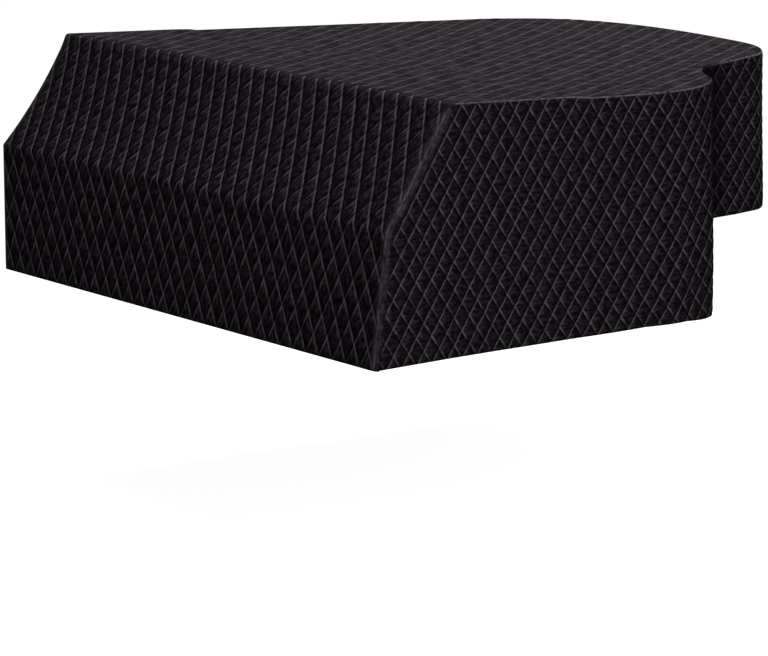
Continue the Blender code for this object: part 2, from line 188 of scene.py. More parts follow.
FLOOR_SIZE = 14.0
floor_mesh = bpy.data.meshes.new("floor")
floor_corners = np.array([(-1, -1), (1, -1), (1, 1), (-1, 1)]) * FLOOR_SIZE
floor_mesh.from_pydata([(*corner, -ORIGIN[2]) for corner in floor_corners], [], [(0, 1, 2, 3)])
floor = bpy.data.objects.new("floor", floor_mesh)
bpy.context.collection.objects.link(floor)
floor_paint = bpy.data.materials.new("pale_floor")
floor_paint.use_nodes = True
floor_shader = floor_paint.node_tree.nodes["Principled BSDF"]
floor_shader.inputs["Base Color"].default_value = FLOOR_GREY
floor_shader.inputs["Roughness"].default_value = 0.9
floor_shader.inputs["Emission Color"].default_value = WHITE
floor_seen = floor_paint.node_tree.nodes.new("ShaderNodeLightPath")
floor_glow = floor_paint.node_tree.nodes.new("ShaderNodeMapRange")
floor_glow.inputs["To Min"].default_value = FLOOR_GIVES
floor_glow.inputs["To Max"].default_value = FLOOR_SEEN
floor_paint.node_tree.links.new(floor_seen.outputs["Is Camera Ray"], floor_glow.inputs["Value"])
floor_paint.node_tree.links.new(floor_glow.outputs[0], floor_shader.inputs["Emission Strength"])
floor_mesh.materials.append(floor_paint)
print("room light", ROOM_LIGHT, "and", len(bpy.data.lights), "lamps")

# %% [markdown]
# ## The plan of the case
# A grand piano's case is one bent wall: straight along the bass, round the tail, and in a double bend back
# to the treble. The panels that hang from it follow the same line, so the line comes first. A spline
# through measured points is the plain way to bend a wall, and a centripetal Catmull-Rom spline passes
# through its points without looping between close ones.

# %% The walls' base line


def smooth_line(points, samples):
    """A centripetal Catmull-Rom spline: each span blends straight lines through its four nearest points, with
    knots spaced by the square root of the distance between them."""
    points = np.array(points, float)
    knots = np.vstack([2 * points[0] - points[1], points, 2 * points[-1] - points[-2]])
    p0, p1, p2, p3 = (knots[k:len(knots) - 3 + k, None, :] for k in range(4))
    t1 = np.linalg.norm(p1 - p0, axis=2, keepdims=True) ** 0.5
    t2 = t1 + np.linalg.norm(p2 - p1, axis=2, keepdims=True) ** 0.5
    t3 = t2 + np.linalg.norm(p3 - p2, axis=2, keepdims=True) ** 0.5
    t = t1 + (t2 - t1) * np.arange(samples)[None, :, None] / samples
    a1 = (t1 - t) / t1 * p0 + t / t1 * p1
    a2 = (t2 - t) / (t2 - t1) * p1 + (t - t1) / (t2 - t1) * p2
    a3 = (t3 - t) / (t3 - t2) * p2 + (t - t2) / (t3 - t2) * p3
    b1 = (t2 - t) / t2 * a1 + t / t2 * a2
    b2 = (t3 - t) / (t3 - t1) * a2 + (t - t1) / (t3 - t1) * a3
    curve = (t2 - t) / (t2 - t1) * b1 + (t - t1) / (t2 - t1) * b2
    return np.vstack([curve.reshape(-1, 2), points[-1:]])


def lengths_along(line):
    """Distance from the first point to each point: the running sum of the steps between them."""
    return np.concatenate([[0.0], np.cumsum(np.linalg.norm(np.diff(line, axis=0), axis=1))])


def look_up(where, known, values):
    """Values at `where`, read with straight lines between the `known` places, column by column."""
    return np.stack([np.interp(where, known, column) for column in np.transpose(values)], axis=-1)


SPAN_POINTS = 40         # points of the line between two points of the plan
LINE = smooth_line(PLAN, SPAN_POINTS)
LINE_S = lengths_along(LINE)
heading = np.gradient(LINE, LINE_S, axis=0)
heading /= np.linalg.norm(heading, axis=1, keepdims=True)
LINE_OUT = np.column_stack([heading[:, 1], -heading[:, 0]])
TAIL_END = int(np.argmax(LINE[:, 1]))


def line_s(y, side):
    """Distance along the base line to `y`, on the "treble" side or on the "bass" side."""
    if side == "treble":
        return np.interp(y, LINE[:TAIL_END, 1], LINE_S[:TAIL_END])
    return np.interp(-np.asarray(y), -LINE[TAIL_END:, 1], LINE_S[TAIL_END:])


print("base line", round(LINE_S[-1], 3), "m, tail at", np.round(LINE[TAIL_END], 3))

# %% [markdown]
# ## The quilting
# Two layers of cloth with a thin wadding between them are stitched together in two families of slanting
# lines. The diamonds between the lines puff up. Each line can be numbered, so every place on a panel gets
# two phases: `a` counts the lines of one family and `b` those of the other, and a phase is a whole number
# on a stitch line. The relief, the thread and the creases can all be worked out from these two numbers, so
# they always agree. The phases are kept on each piece as a UV map, which the material reads.

# %% Where the stitch lines are
# columns: width and height of a diamond, how a row climbs, how a column leans, x and y of one crossing
QUILT = {
    "top": (0.0511, 0.0819, -0.0543, -0.1974, 0.7982, 0.5170),
    "slope": (0.0480, 0.0687, 0.000, -0.1473, 0.7496, 0.2773),
    "drop": (0.0480, 0.0846, 0.000, 0.000, 0.7773, 0.3224),
    "treble": (0.0389, 0.0565, -0.0640, 0.0065, 0.5676, 0.2396),
    "tail": (0.0524, 0.0513, 0.1262, 0.0131, 1.2880, 0.1063),
    "bass": (0.0440, 0.0580, 0.060, 0.010, 3.2000, 0.1000),
}
# How far the lid's quilting is pulled out of straight: what the square of x, x times y and the square of y
# add to the first phase and to the second, measured from PULL_MIDDLE
TOP_PULL = ((1.08, -0.90, -0.20), (-0.45, 0.53, -0.48))
PULL_MIDDLE = (0.8, 0.5)
PUFF = 0.0016            # how far the middle of a diamond stands above its stitches
SEAM_FADE = 0.006        # the stitching shows fully this far from a seam or a hem


def stitch_phases(panel, x, y):
    """i counts half diamonds along a row and j counts half rows; a is half their sum and b is half their
    difference."""
    width, height, climb, lean, x0, y0 = QUILT[panel]
    j = (y - y0 - climb * (x - x0)) / (height / 2)
    i = (x - x0 - lean * j * height / 2) / (width / 2)
    return (i + j) / 2, (i - j) / 2


def pulled(x, y, terms):
    """A phase's share of x squared, x times y and y squared, with x and y measured from PULL_MIDDLE."""
    x, y = x - PULL_MIDDLE[0], y - PULL_MIDDLE[1]
    return terms[0] * x * x + terms[1] * x * y + terms[2] * y * y


def puffed(a, b):
    """Height of the wadding, 0 on a stitch line and 1 in a diamond's middle: the sines of pi a and pi b,
    multiplied and made a little fuller."""
    return (np.abs(np.sin(math.pi * a)) * np.abs(np.sin(math.pi * b))) ** 0.9


def eased_in(distance, over=0.012):
    """0 at an edge and 1 from `over` inwards, so that the relief dies out in the plain band along a seam."""
    return smoothstep(0.001, over, distance)


print({panel: [round(v * 1000) for v in row[:2]] for panel, row in QUILT.items()}, "mm")

# %% [markdown]
# ## A sheet of cloth from a grid
# Every panel is a surface with two parameters, worked out as one array of points. The same few lines turn
# such an array into a mesh: quads between neighbouring points, the phases in a UV map, and a Solidify
# modifier that gives the cloth its thickness on the inside. Solidify is chosen over a second modelled layer
# because it keeps the inner face an even distance from the outer one.

# %% Turning a grid of points into cloth


def cloth_sheet(name, points, phases, outward, quilted, edge_highlight, sheltered=0.0, sloping=0.0):
    """Quads between neighbours of a grid of `points`, turned over where their faces would look inwards.

    `quilted` is 0 in the plain bands and 1 in the quilting, `edge_highlight` is the strength of the painted
    highlight on a rounded edge, `sheltered` is 1 where a bend keeps the light off, and `sloping` is 1 where
    the cloth leans back."""
    rows, columns = points.shape[:2]
    number = np.arange(rows * columns).reshape(rows, columns)
    quads = np.stack([number[:-1, :-1], number[:-1, 1:], number[1:, 1:], number[1:, :-1]], axis=-1)
    across = points[:-1, 1:] - points[:-1, :-1]
    along = points[1:, :-1] - points[:-1, :-1]
    if (np.cross(across, along) * outward[:-1, :-1]).sum() < 0:
        quads = quads[..., ::-1]
    corners = quads.reshape(-1)
    mesh = bpy.data.meshes.new(name)
    mesh.vertices.add(rows * columns)
    mesh.vertices.foreach_set("co", (points - ORIGIN).reshape(-1))
    mesh.loops.add(len(corners))
    mesh.loops.foreach_set("vertex_index", corners)
    mesh.polygons.add(len(corners) // 4)
    mesh.polygons.foreach_set("loop_start", np.arange(0, len(corners), 4))
    mesh.update(calc_edges=True)
    mesh.validate()
    mesh.shade_smooth()
    mesh.uv_layers.new(name="quilting").uv.foreach_set("vector", phases.reshape(-1, 2)[corners].reshape(-1))
    kept = (("quilted", quilted), ("edge_highlight", edge_highlight), ("sheltered", sheltered), ("sloping", sloping))
    for label, values in kept:
        values = np.broadcast_to(values, (rows, columns)).reshape(-1).astype(np.float32)
        mesh.attributes.new(label, "FLOAT", "POINT").data.foreach_set("value", values)
    piece = bpy.data.objects.new(name, mesh)
    bpy.context.collection.objects.link(piece)
    thickness = piece.modifiers.new("cloth_thickness", "SOLIDIFY")
    thickness.thickness = CLOTH
    thickness.offset = -1.0
    print(name, rows, "x", columns, "points,", 4 * len(quads.reshape(-1, 4)), "triangles with its inner face")
    return piece


def hang(piece, node, flat, area):
    """Fixes a finished panel to the cover: it stands for its solid, which is hidden, and hangs from the root.
    """
    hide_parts(node)
    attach(piece, "root")
    print(piece.name, "cut from", np.round(flat, 3), "m,", round(area, 3), "square metres")


# %% [markdown]
# ## The top
# The top is one piece cut to the plan of the lid, a seam's width inside the walls. A square grid would
# leave a ragged edge along the curved plan, and trimming it would cut the quads. A Coons patch bends the
# grid instead: it is given four edge curves, and each inner point is the blend of the two points facing it
# on either side, less the blend of the corners, which would otherwise count twice. The quads then run along
# the edge all the way round.

# %% The top panel
WALL_ROUND = 0.005       # radius of the edge between the top and a wall
SEAM_GAP = 0.0003        # between two panels at a seam
FRONT_SEAM = 0.007       # y of the seam between the top and the front panel
TAIL_ENDS = (line_s(1.300, "treble"), line_s(1.378, "bass"))
TOP_GRID = (214, 214)


def seam_line(along):
    """The top's cut edge: the base line moved in by the edge's radius."""
    return look_up(along, LINE_S, LINE) - look_up(along, LINE_S, LINE_OUT) * (WALL_ROUND + SEAM_GAP)


def coons(front, tail, bass, treble):
    """front(u) and tail(u) blended by v, plus bass(v) and treble(v) blended by u, less the four
    corners blended by both."""
    u = np.linspace(0.0, 1.0, len(front))[None, :, None]
    v = np.linspace(0.0, 1.0, len(bass))[:, None, None]
    corners = (front[0] * (1 - u) + front[-1] * u) * (1 - v) + (tail[0] * (1 - u) + tail[-1] * u) * v
    return front * (1 - v) + tail * v + bass[:, None] * (1 - u) + treble[:, None] * u - corners


columns, rows = TOP_GRID
treble_front, bass_front = (line_s(FRONT_SEAM + SEAM_GAP, side) for side in ("treble", "bass"))
treble_edge = seam_line(np.linspace(treble_front, TAIL_ENDS[0], rows))
bass_edge = seam_line(np.linspace(bass_front, TAIL_ENDS[1], rows))
tail_edge = seam_line(np.linspace(TAIL_ENDS[1], TAIL_ENDS[0], columns))
front_edge = np.linspace(bass_edge[0], treble_edge[0], columns)
plan = coons(front_edge, tail_edge, bass_edge, treble_edge)

u, v = np.linspace(0.0, 1.0, columns)[None, :], np.linspace(0.0, 1.0, rows)[:, None]
across = np.linalg.norm(plan[:, -1] - plan[:, 0], axis=1)[:, None]
along = np.linalg.norm(plan[-1] - plan[0], axis=1)[None, :]
to_edge = np.minimum(np.minimum(u, 1 - u) * across, np.minimum(v, 1 - v) * along)
a, b = stitch_phases("top", plan[..., 0], plan[..., 1])
a, b = (phase + pulled(plan[..., 0], plan[..., 1], terms) for phase, terms in zip((a, b), TOP_PULL))
height = top_height(plan[..., 1]) + PUFF * puffed(a, b) * eased_in(to_edge)
top_points = np.dstack([plan, height])
top_up = np.broadcast_to([0.0, 0.0, 1.0], top_points.shape)
quilted = smoothstep(0.0, SEAM_FADE, to_edge)
top_panel = cloth_sheet("quilted_top", top_points, np.dstack([a, b]), top_up, quilted, 0.0)

rim = np.vstack([front_edge, treble_edge, tail_edge[::-1], bass_edge[::-1]])
after = np.roll(rim, -1, axis=0)
top_area = 0.5 * abs((rim[:, 0] * after[:, 1] - rim[:, 1] * after[:, 0]).sum())
hang(top_panel, "top_panel", tuple(np.ptp(rim, axis=0)), top_area)

# %% [markdown]
# ## The front
# The front panel leaves the lid over a soft brow, slopes down to the key slip, folds, and drops straight.
# At both sides it turns the corner and is sewn to the side walls. Its section is a line with two kinks, and
# cloth doesn't kink: averaging the line over a few millimetres either side of each place rounds the kinks
# without moving the straight parts. The sides are quarter circles. The slope sags a little between the brow
# and the fold, more at the bass end.

# %% The front panel's section
BROW_HALF = 0.0065       # the brow's kink is averaged over this much cloth on either side
FOLD_HALF = 0.0040       # the same for the fold
CORNER_ROUND = 0.010     # radius of the front panel's side edges
FOLD_AT = FRONT_SEAM + SLOPE_LENGTH
FRONT_HEM_AT = FOLD_AT + DROP_LENGTH
BROW_BAND = 0.018        # cloth between the top seam and the end of the brow's curve
FOLD_BAND = 0.008        # cloth on either side of the fold that gets finer rows


def kinked_section(down, end):
    """Three straight lines: back over the lid, down the slope with its sag, and down the drop."""
    fold_y, hem_y, hem_z, sag = FRONT_ENDS[end]
    brow, fold, hem = np.array([[0.0, TOP_HEIGHT + FLAP_RISE], [fold_y, FOLD_HEIGHT], [hem_y, hem_z]])
    inwards = np.array([brow[1] - fold[1], fold[0] - brow[0]]) / np.linalg.norm(fold - brow)
    over_lid = np.stack([FRONT_SEAM - down, top_height(FRONT_SEAM - down)], axis=-1)
    share = np.clip((down - FRONT_SEAM) / SLOPE_LENGTH, 0.0, 1.0)[..., None]
    slope = brow + (fold - brow) * share + inwards * sag * 4 * share * (1 - share)
    below = ((down - FOLD_AT) / DROP_LENGTH)[..., None]
    drop = fold + (hem - fold) * below
    down = down[..., None]
    return np.where(down < FRONT_SEAM, over_lid, np.where(down < FOLD_AT, slope, drop))


def front_section(down, end):
    """The kinked section, averaged over the cloth within `half` on either side of each place."""
    half = np.where(down < 0.15, BROW_HALF, FOLD_HALF)
    shifts = np.linspace(-1.0, 1.0, 21)
    return kinked_section(down[..., None] + half[..., None] * shifts, end).mean(axis=-2)


# the rows down the front. columns: from, to, how many rows
row_parts = (
    (0.0, BROW_BAND, 7),
    (BROW_BAND, FOLD_AT - FOLD_BAND, 52),
    (FOLD_AT - FOLD_BAND, FOLD_AT + FOLD_BAND, 8),
    (FOLD_AT + FOLD_BAND, FRONT_HEM_AT, 52),
)
FRONT_ROWS = np.concatenate([np.linspace(*part, endpoint=False) for part in row_parts] + [[FRONT_HEM_AT]])
sections = np.stack([front_section(FRONT_ROWS, end) for end in (0, 1)])
runs = np.gradient(sections, FRONT_ROWS, axis=1)
runs /= np.linalg.norm(runs, axis=2, keepdims=True)
section_out = np.stack([-runs[..., 1], runs[..., 0]], axis=-1)
section_out *= np.sign(section_out[:, -1:, :1]) * -1.0
section_out[:, 0] = (0.0, 1.0)
print("front section: hem at", np.round(sections[:, -1], 3).tolist(), "outward there",
      np.round(section_out[:, -1], 2).tolist())

# %% [markdown]
# ### Round the front's corners
# The panel is one width of cloth. Across the middle its columns are even, and at each side a few more
# columns turn a quarter circle to meet the wall. The quilting is counted on the flat cloth, so it runs
# round the corner without being squeezed. A pale highlight is painted on the edges that stand out: the two
# side edges, most of all where a stitch line crosses them, the cloth beside them on the slope, and the brow.
# That painted highlight is kept at each point, from 0 to 1, for the material to read. The slope leans back
# and the drop doesn't, which the material also needs to know.

# %% The front panel
CORNER_STEPS = 7         # columns round each side edge
FRONT_COLUMNS = 286      # columns between the side edges
COUNT_FROM = 0.004       # what the quilting's own x reads at the bass side


def edge_radius(down):
    """The radius of the side edges: the walls' own at the brow, growing to the corner's over 50 mm."""
    return WALL_ROUND + (CORNER_ROUND - WALL_ROUND) * smoothstep(0.0, 0.05, down)


def front_phases(x, down):
    """The slope's lines run on into the drop: between the slope's last row of crossings and the drop's first
    one the lines are straight, so i and j are blended across that strip."""
    width, slope_height, _, lean, slope_x, slope_y = QUILT["slope"]
    _, drop_height, _, _, drop_x, drop_y = QUILT["drop"]
    on_slope = np.minimum(down - slope_y, 0.0) / (slope_height / 2)
    in_strip = np.clip((down - slope_y) / (drop_y - slope_y), 0.0, 1.0)
    on_drop = np.maximum(down - drop_y, 0.0) / (drop_height / 2)
    j = on_slope - 1.0 + in_strip + on_drop
    start = slope_x + width / 2 + lean * on_slope * slope_height / 2
    start = start + (drop_x - slope_x - width / 2) * in_strip
    i = (x - start) / (width / 2)
    return (i + j) / 2, (i - j) / 2


def front_edge_highlight(side, turns, to_side, radius, down):
    """The painted highlight, from 0 to 1, as the greatest of three. The side edges: a base, and a bell curve
    near the front that swells where a stitch line meets it and fades within 7 mm on the flat. The slope
    beside
    them: a wider bell. The brow: a strip that fades in over 8 mm and out by 30 mm."""
    edge_x = np.where(side < 0, radius, WIDTH - radius) + COUNT_FROM
    met = 0.5 + 0.5 * np.cos(2 * math.pi * (front_phases(edge_x, down)[1] - 0.12))
    round_edge = 0.30 * smoothstep(0.15, 0.6, turns)
    round_edge = round_edge + (0.45 + 1.0 * met) * np.exp(-(((turns - 1.38) / 0.17) ** 2))
    beside = 0.40 * np.exp(-((to_side / 0.007) ** 2))
    edges = np.where(to_side > 0, beside, round_edge) * smoothstep(0.0, 0.03, down)
    slope = 0.17 * np.exp(-((to_side / 0.022) ** 2)) * (1 - smoothstep(0.20, FOLD_AT, down))
    brow = 0.10 * (1 - smoothstep(0.008, 0.030, down)) * smoothstep(0.0, 0.008, down)
    return np.maximum(np.maximum(edges, slope), brow)


turn = np.linspace(0.0, math.pi / 2, CORNER_STEPS)[:-1]
middle = np.linspace(0.0, 1.0, FRONT_COLUMNS)
turns = np.concatenate([turn, np.full(FRONT_COLUMNS, math.pi / 2), turn[::-1]])[None, :]
spread = np.concatenate([np.zeros(len(turn)), middle, np.ones(len(turn))])[None, :]
side = np.concatenate([-np.ones(len(turn)), np.zeros(FRONT_COLUMNS), np.ones(len(turn))])[None, :]
down = FRONT_ROWS[:, None]
radius = edge_radius(down)
x = radius + (WIDTH - 2 * radius) * spread + side * radius * np.cos(turns)
inset = radius * (1.0 - np.sin(turns))
share = (x / WIDTH)[..., None]
section = sections[0][:, None] * (1 - share) + sections[1][:, None] * share
outward = section_out[0][:, None] * (1 - share) + section_out[1][:, None] * share
round_turned = radius * (turns - math.pi / 2)
flat_x = x + COUNT_FROM + side * (radius * np.cos(turns) + round_turned)
a, b = front_phases(flat_x, down)
to_side = np.minimum(x, WIDTH - x) - radius
to_edge = np.minimum(to_side, np.minimum(down - 0.004, FRONT_HEM_AT - down))
lift = PUFF * puffed(a, b) * eased_in(to_edge, 0.014) - inset
# Painted highlight on the front's rounded side edges, on the slope beside them and on the brow.
edge_highlight = front_edge_highlight(side, turns, to_side, radius, down)
front_points = np.dstack([x, section + outward * lift[..., None]])
front_out = np.dstack([side * np.cos(turns) + 0 * down, outward * np.sin(turns)[..., None]])
quilted = smoothstep(-0.003, 0.003, to_side)
sloping = 1.0 - smoothstep(FOLD_AT - 0.004, FOLD_AT + 0.010, down)
front_panel = cloth_sheet("quilted_front", front_points, np.dstack([b, a]), front_out, quilted, edge_highlight,
                          sloping=sloping)
front_flat = (WIDTH + 2 * CORNER_ROUND * (math.pi / 2 - 1), FRONT_HEM_AT)
hang(front_panel, "front_panel", front_flat, front_flat[0] * front_flat[1])

# %% [markdown]
# ## The side walls
# The walls are sewn to the top along a tight edge and hang from it. Their flat pattern is simple: a
# distance along the case and a distance down the cloth. The wall bends that pattern in two steps: a quarter
# circle at the top edge, then straight down, standing out a little towards the hem because nothing holds it
# there. The end beside the front panel is cut on the line of the slope, and the hem is cut in steps, so
# each grid is stretched between its own two end cuts and its own hem.

# %% How a wall hangs
FLARE = 0.006            # how far the hem stands out behind the keyboard
# columns: wavelength along the wall, phase, swing at the hem
WAVES = ((0.83, 0.4, 0.0022), (0.37, 1.9, 0.0013))


def hung_wall(along, down):
    """A quarter circle of WALL_ROUND at the top edge, then straight down; the hem stands out by FLARE and
    sways by two sine waves. Gives the points and the outward directions."""
    foot = look_up(along, LINE_S, LINE)
    out = look_up(along, LINE_S, LINE_OUT)
    turn = np.clip(down / WALL_ROUND, 0.0, math.pi / 2)
    inset = WALL_ROUND * (1.0 - np.sin(turn))
    fall = WALL_ROUND * (1.0 - np.cos(turn)) + np.maximum(down - WALL_ROUND * math.pi / 2, 0.0)
    swing = smoothstep(0.03, 0.45, down) * smoothstep(0.10, 0.35, foot[..., 1])
    sway = sum(size * np.sin(2 * math.pi * along / length + phase) for length, phase, size in WAVES)
    foot = foot + out * ((FLARE + sway) * swing - inset)[..., None]
    points = np.dstack([foot, top_height(foot[..., 1]) - fall])
    outward = np.dstack([out * np.sin(turn)[..., None], np.cos(turn)])
    return points, outward


def wall_down(y, z):
    """Distance down a wall's cloth from its top seam to the height `z`."""
    return top_height(y) - z + WALL_ROUND * (math.pi / 2 - 1)


def cut_at_slope(end):
    """The wall's end beside the front panel: distances along and down, at the front panel's own rows."""
    cut = sections[end] - section_out[end] * (edge_radius(FRONT_ROWS)[:, None] + SEAM_GAP)
    along = line_s(cut[:, 0], ("bass", "treble")[end])
    down = wall_down(cut[:, 0], cut[:, 1])
    return np.vstack([[along[0], 0.0], np.column_stack([along, down])])


def cut_at_step(side, panel, sign):
    """The wall's end at the step in the hem, straight down on one side of the seam there."""
    along = line_s(STEP_AT, side) + sign * SEAM_GAP / 2
    rows = np.array(HEMS[panel])
    return np.array([(along, 0.0), (along, wall_down(STEP_AT, np.interp(STEP_AT, rows[:, 0], rows[:, 1])))])


def wall_rows(count):
    """Shares of the way down: the first seven rows go round the top edge, and the rest are even."""
    return np.linspace(0.0, 1.0, 7), np.linspace(0.0, 1.0, count - 6)[1:]


def rows_down(hem, count):
    """Distances down the cloth at each row, from the seam to the hem, for one hem distance or many."""
    edge = 1.6 * WALL_ROUND
    first, rest = wall_rows(count)
    hem = np.asarray(hem, float)
    return np.concatenate([edge * first[:, None] + 0 * hem, edge + (hem - edge) * rest[:, None]])


print("walls hang", round(float(wall_down(0.5, 0.539)), 3), "m at the treble side")

# %% [markdown]
# ### The three walls
# Each wall is a grid between two cut ends. Its phases come from how far along the case and how far down the
# cloth a point is. Round the treble bend and on the tail the diamonds keep an even look from the corner
# that the cover is seen from, so they are wider on the cloth there. A table of paces says how fast the
# lines are counted, and its running sum takes the place of the plain distance. The bend past the step keeps
# the light off, and a shade is kept at the points there.

# %% The grid of a wall


def wall_grid(panel, first_cut, last_cut, columns, rows):
    """Straight rows between the two cuts: along is blended from cut to cut, and down runs from the seam to
    the hem below each column."""
    share = np.linspace(0.0, 1.0, columns)[None, :]
    ends = []
    for cut in (first_cut, last_cut):
        down = rows_down(cut[-1:, 1], rows)
        ends.append(np.interp(down[:, 0], cut[:, 1], cut[:, 0])[:, None])
    along = ends[0] * (1 - share) + ends[1] * share
    hem_y = np.interp(along[-1], LINE_S, LINE[:, 1])
    table = np.array(HEMS[panel])
    hem = wall_down(hem_y, np.interp(hem_y, table[:, 0], table[:, 1]))
    down = rows_down(hem[None, :], rows)
    to_ends = np.minimum(along - ends[0], ends[1] - along)
    to_edge = np.minimum(to_ends, np.minimum(down - WALL_ROUND, hem[None, :] - down))
    return along, down, to_edge


def paced(along, side, table):
    """Distance along the case as the quilting counts it: the running sum of the pace, which is read from the
    table by y. Where the pace is below 1 the diamonds are wider than on the straight wall."""
    table = np.array(table)
    places = line_s(table[:, 0], side)
    rate = np.interp(LINE_S, places, table[:, 1])
    count = np.concatenate([[0.0], np.cumsum((rate[1:] + rate[:-1]) / 2 * np.diff(LINE_S))])
    return np.interp(along, LINE_S, count) - np.interp(places[0], LINE_S, count) + places[0]


# The pace of the quilting along each wall. columns: y, pace
PACES = {
    "treble": ((-REACH, 1.052), (0.20, 1.039), (0.42, 0.940), (0.54, 0.789), (0.60, 0.688), (0.64, 0.680),
               (0.70, 0.445), (0.75, 0.305), (0.785, 0.240), (0.83, 0.800)),
    "tail": ((STEP_AT, 0.500), (0.95, 0.618), (1.00, 0.726), (1.06, 0.677), (1.12, 0.700), (1.20, 0.629),
             (1.30, 0.587), (1.40, 0.771), (1.46, 1.0)),
    "bass": ((1.20, 1.0), (-REACH, 1.0)),
}
QUILT_START = 0.001      # the quilting's own depth at the top seam
WALL_EDGE_HIGHLIGHT = 0.8         # how strong the painted highlight on the walls' top edge is
SHADE_BEFORE, SHADE_PAST = 0.08, 0.19  # how far in y the bend's shade reaches before and past the step


def in_bend(along):
    """1 at the step on the treble side, 0 far from it: a bell curve of y before the step, and past it the
    same with a fourth power, which stays dark for longer. 0 on the bass side."""
    past_step = np.interp(along, LINE_S, LINE[:, 1]) - STEP_AT
    before, past = np.exp(-((past_step / SHADE_BEFORE) ** 2)), np.exp(-((past_step / SHADE_PAST) ** 4))
    return (along < line_s(1.4, "treble")) * np.where(past_step > 0, past, before)


# columns: first end, last end, columns and rows of the grid
WALLS = {
    "treble": (cut_at_slope(1), cut_at_step("treble", "treble", -1), 218, 100),
    "tail": (cut_at_step("treble", "tail", 1), cut_at_step("bass", "tail", -1), 372, 72),
    "bass": (cut_at_step("bass", "bass", 1), cut_at_slope(0), 218, 100),
}
walls = {}
for panel, (first_cut, last_cut, columns, rows) in WALLS.items():
    along, down, to_edge = wall_grid(panel, first_cut, last_cut, columns, rows)
    points, outward = hung_wall(along, down)
    side = "bass" if panel == "bass" else "treble"
    a, b = stitch_phases(panel, paced(along, side, PACES[panel]), down + QUILT_START)
    lift = PUFF * puffed(a, b) * eased_in(to_edge)
    quilted = smoothstep(0.0, SEAM_FADE, to_edge + 0.002)
    edge_turn = np.clip(down / WALL_ROUND, 0.0, math.pi / 2)
    # Painted highlight along the walls' rounded top edge.
    edge_highlight = WALL_EDGE_HIGHLIGHT * np.clip(np.sin(2.0 * edge_turn), 0.0, 1.0) ** 2
    points = points + outward * lift[..., None]
    phases = np.dstack([a, b])
    walls[panel] = cloth_sheet("quilted_" + panel, points, phases, outward, quilted, edge_highlight, in_bend(along))
    wall_area = float((np.diff(along[-1]) * (down[-1, 1:] + down[-1, :-1]) / 2).sum())
    wall_flat = (float(np.ptp(along)), float(down.max()))
    hang(walls[panel], panel + "_panel", wall_flat, min(wall_area, wall_flat[0] * wall_flat[1]))

# %% [markdown]
# ## The cloth's finish
# The cloth is matt black woven polyester. What the eye reads is the stitching: thin paler lines, which are
# a painted highlight along each stitched ridge, each with a painted shade in the crease beside it where the
# stitches pull the cloth in. Between the lines the wadding puckers in short level streaks, painted as light
# and shade. All of it is computed from the two phases, in one node group that every panel uses with its
# own values. Painting an image would fix the sharpness once; numbers stay sharp from any distance.

# %% Small helpers for nodes


def fit(tree, kind, inputs=(), **settings):
    """Adds a node, sets it, and links or fills its inputs in order; None leaves an input alone."""
    node = tree.nodes.new(kind)
    for name, value in settings.items():
        setattr(node, name, value)
    for socket, value in zip(node.inputs, inputs):
        if isinstance(value, bpy.types.NodeSocket):
            tree.links.new(value, socket)
        elif value is not None:
            socket.default_value = value
    return node.outputs[0]


def calc(tree, operation, *inputs):
    """One sum, product or other step of arithmetic."""
    return fit(tree, "ShaderNodeMath", inputs, operation=operation)


def ramp(tree, value, low, high, first=0.0, last=1.0):
    """A soft step from `first` below `low` to `last` above `high`."""
    return fit(tree, "ShaderNodeMapRange", (value, low, high, first, last), interpolation_type="SMOOTHSTEP")


def mixed(tree, share, first, second):
    """The colour `first` where `share` is 0, and `second` where it is 1."""
    node = tree.nodes.new("ShaderNodeMix")
    node.data_type = "RGBA"
    for socket, value in zip((node.inputs[0], node.inputs[6], node.inputs[7]), (share, first, second)):
        if isinstance(value, bpy.types.NodeSocket):
            tree.links.new(value, socket)
        else:
            socket.default_value = value
    return node.outputs[2]


def new_group(name, inputs, outputs):
    """A node group with named inputs, given with their usual values, and named outputs."""
    group = bpy.data.node_groups.new(name, "ShaderNodeTree")
    for label, kind, value in inputs:
        socket = group.interface.new_socket(label, in_out="INPUT", socket_type="NodeSocket" + kind)
        if value is not None:
            socket.default_value = value
    for label, kind in outputs:
        group.interface.new_socket(label, in_out="OUTPUT", socket_type="NodeSocket" + kind)
    given = group.nodes.new("NodeGroupInput").outputs
    result = group.nodes.new("NodeGroupOutput").inputs
    return group, given, result


print("node helpers ready")

# %% [markdown]
# ### Stitch lines, painted highlight and painted shade
# A stitch line is where a phase is a whole number, so the distance from it is the phase folded back and
# forth between 0 and a half. The pale line, a painted highlight along the stitched ridge, is a narrow step
# of that distance, cut into stitches by the other phase. The second family is strong where it leaves a first
# line and fades before it reaches the next one, more where the stitches were drawn tight. The diamond
# darkens away from its lit corner in painted shade, a painted shade lies in the crease beside each line,
# and one slanting ridge of wadding crosses each diamond as a painted highlight. A slow noise makes the
# lines waver a little, as sewn lines do.

# %% The stitching group
STITCHES_A_SIDE = 9.0    # stitches along one side of a diamond
RIDGE_LEAN = 0.6         # how a pucker slants across a diamond
DIM_AT = 0.82          # where the first line is dimmed in painted shade before the next crossing
CREASE_AT = 0.86         # where the painted shade of the crease lies before the next line

